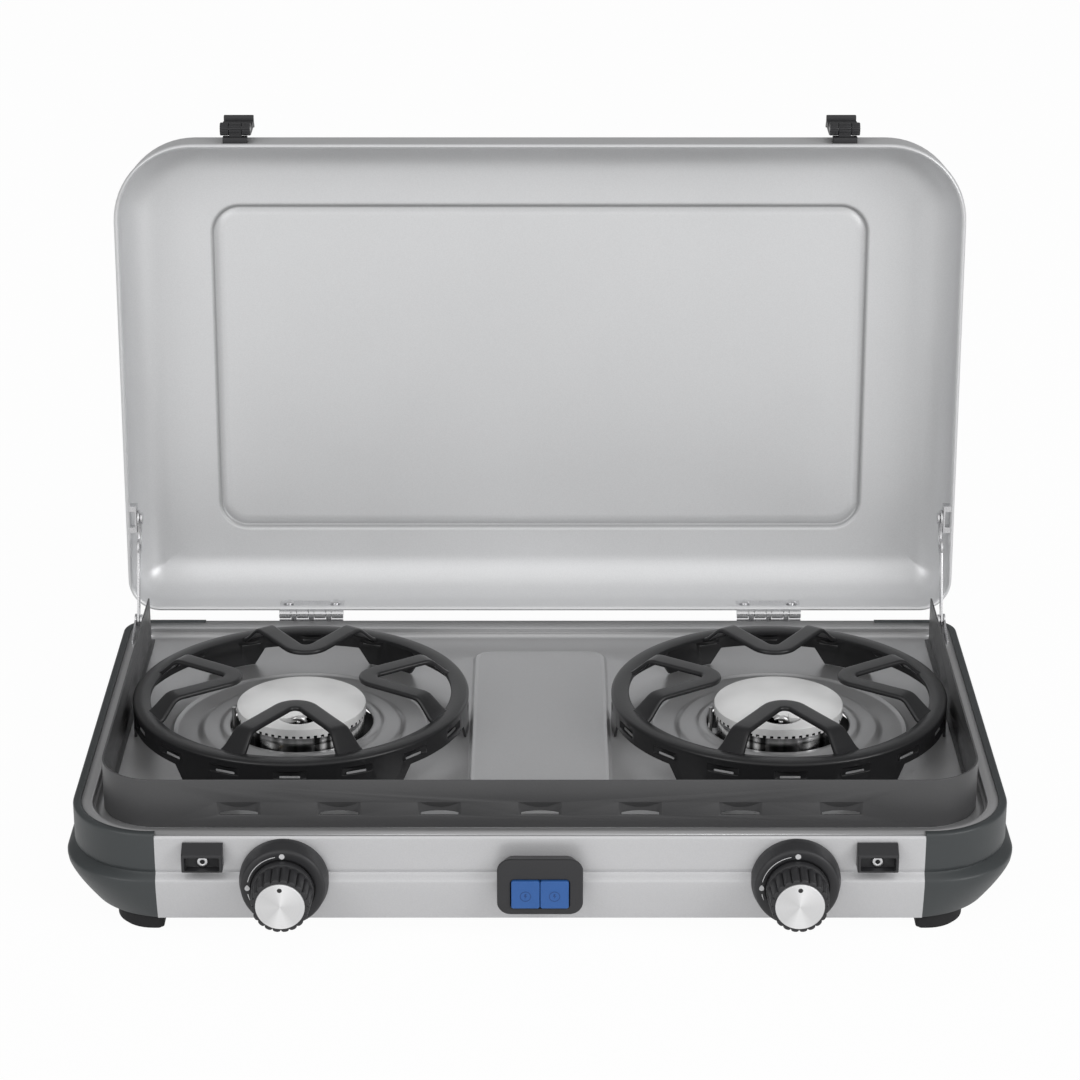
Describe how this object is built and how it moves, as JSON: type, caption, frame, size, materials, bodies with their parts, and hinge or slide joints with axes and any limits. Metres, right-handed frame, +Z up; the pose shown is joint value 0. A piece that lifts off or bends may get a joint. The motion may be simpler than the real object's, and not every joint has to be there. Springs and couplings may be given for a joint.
{
  "type": "two-burner camping stove",
  "caption": "Portable two-burner gas camping stove with a hinged lid, lift-off pan supports, a three-sided windscreen, rotary valve knobs, push-button ignition and lid latch clips.",
  "frame": {"origin": "on the ground under the middle of the open stove, from the knobs to the back of the lid, midway between its ends", "axes": "+X to the right end as seen from the controls, -Y towards the controls, +Z up"},
  "size_m": [0.5, 0.3694, 0.354],
  "materials": {
    "silver_lid": "satin",
    "silver_panel": "satin",
    "deck_grey": "satin",
    "screen_grey": "satin",
    "black_enamel": "gloss",
    "cap_plastic": "matte",
    "dark_plastic": "matte",
    "blue_plastic": "gloss",
    "bright_steel": "satin",
    "brushed_disc": "brushed",
    "burner_alloy": "satin",
    "tube_steel": "satin",
    "brass": "satin",
    "rubber": "matte"
  },
  "bodies": {
    "base": {"base_hinge_rivets": "bright_steel", "burner_body_left": "burner_alloy", "burner_body_right": "burner_alloy", "burner_brackets": "tube_steel", "burner_cap_left": "burner_alloy", "burner_cap_right": "burner_alloy", "catch_screws": "bright_steel", "deck": "deck_grey", "end_cap_left": "cap_plastic", "end_cap_right": "cap_plastic", "feet": "rubber", "front_panel": "silver_panel", "gas_inlet": "brass", "gas_manifold": "tube_steel", "gas_valve_left": "brass", "gas_valve_right": "brass", "hinge_base_leaf_left": "bright_steel", "hinge_base_leaf_right": "bright_steel", "hinge_pins": "bright_steel", "ignition_housing": "dark_plastic", "ignition_leads": "rubber", "injectors": "brass", "knob_bezel_left": "dark_plastic", "knob_bezel_right": "dark_plastic", "latch_catches": "dark_plastic", "mixing_tube_left": "tube_steel", "mixing_tube_right": "tube_steel", "piezo_units": "dark_plastic", "rear_panel": "silver_panel", "sensor_lines": "brass", "spark_electrodes": "bright_steel", "stay_lug_left": "bright_steel", "stay_lug_right": "bright_steel", "thermocouples": "tube_steel"},
    "lid": {"clip_bracket_left": "bright_steel", "clip_bracket_right": "bright_steel", "clip_pins": "bright_steel", "hinge_lid_leaf_left": "bright_steel", "hinge_lid_leaf_right": "bright_steel", "lid_hinge_rivets": "bright_steel", "lid_shell": "silver_lid", "stay_bridge_left": "bright_steel", "stay_bridge_right": "bright_steel"},
    "windscreen": {"windscreen": "screen_grey"},
    "pan_support_left": {"pan_support_left": "black_enamel"},
    "pan_support_right": {"pan_support_right": "black_enamel"},
    "lid_stay_left": {"lid_stay_left": "bright_steel"},
    "lid_stay_right": {"lid_stay_right": "bright_steel"},
    "latch_clip_left": {"latch_clip_left": "dark_plastic"},
    "latch_clip_right": {"latch_clip_right": "dark_plastic"},
    "knob_left": {"knob_left": "dark_plastic", "knob_cap_left": "brushed_disc", "valve_stem_left": "bright_steel"},
    "knob_right": {"knob_right": "dark_plastic", "knob_cap_right": "brushed_disc", "valve_stem_right": "bright_steel"},
    "igniter_button_left": {"igniter_button_left": "blue_plastic"},
    "igniter_button_right": {"igniter_button_right": "blue_plastic"}
  },
  "joints": [
    {"name": "lid_hinge", "type": "hinge", "parent": "base", "child": "lid", "pos_m": [0, 0.12976, 0.0612], "axis": [-1, 0, 0], "range_deg": [-93.75, 0]},
    {"name": "stay_pivot_left", "type": "hinge", "parent": "base", "child": "lid_stay_left", "pos_m": [-0.2372, 0.11386, 0.064], "axis": [-1, 0, 0], "range_deg": [-112, 0]},
    {"name": "clip_pivot_left", "type": "hinge", "parent": "lid", "child": "latch_clip_left", "pos_m": [-0.174, 0.15753, 0.35035], "axis": [-1, 0, 0], "range_deg": [-176, 0]},
    {"name": "knob_turn_left", "type": "hinge", "parent": "base", "child": "knob_left", "pos_m": [-0.1324, -0.17264, 0.0328], "axis": [0, -1, 0], "range_deg": [0, 180]},
    {"name": "button_push_left", "type": "slide", "parent": "base", "child": "igniter_button_left", "axis": [0, 1, 0], "range_m": [0, 0.003], "stiffness_N_per_m": 500},
    {"name": "pan_support_lift_left", "type": "slide", "parent": "base", "child": "pan_support_left", "axis": [0, 0, 1], "range_m": [0, 0.05]},
    {"name": "stay_pivot_right", "type": "hinge", "parent": "base", "child": "lid_stay_right", "pos_m": [0.2372, 0.11386, 0.064], "axis": [-1, 0, 0], "range_deg": [-112, 0]},
    {"name": "clip_pivot_right", "type": "hinge", "parent": "lid", "child": "latch_clip_right", "pos_m": [0.174, 0.15753, 0.35035], "axis": [-1, 0, 0], "range_deg": [-176, 0]},
    {"name": "knob_turn_right", "type": "hinge", "parent": "base", "child": "knob_right", "pos_m": [0.1324, -0.17264, 0.0328], "axis": [0, -1, 0], "range_deg": [0, 180]},
    {"name": "button_push_right", "type": "slide", "parent": "base", "child": "igniter_button_right", "axis": [0, 1, 0], "range_m": [0, 0.003], "stiffness_N_per_m": 500},
    {"name": "pan_support_lift_right", "type": "slide", "parent": "base", "child": "pan_support_right", "axis": [0, 0, 1], "range_m": [0, 0.05]},
    {"name": "windscreen_lift", "type": "slide", "parent": "base", "child": "windscreen", "axis": [0, 0, 1], "range_m": [0, 0.05]}
  ],
  "couplings": [
    {"joint": "stay_pivot_left", "follows": "lid_hinge", "ratio": 1.1926},
    {"joint": "stay_pivot_right", "follows": "lid_hinge", "ratio": 1.1926}
  ]
}
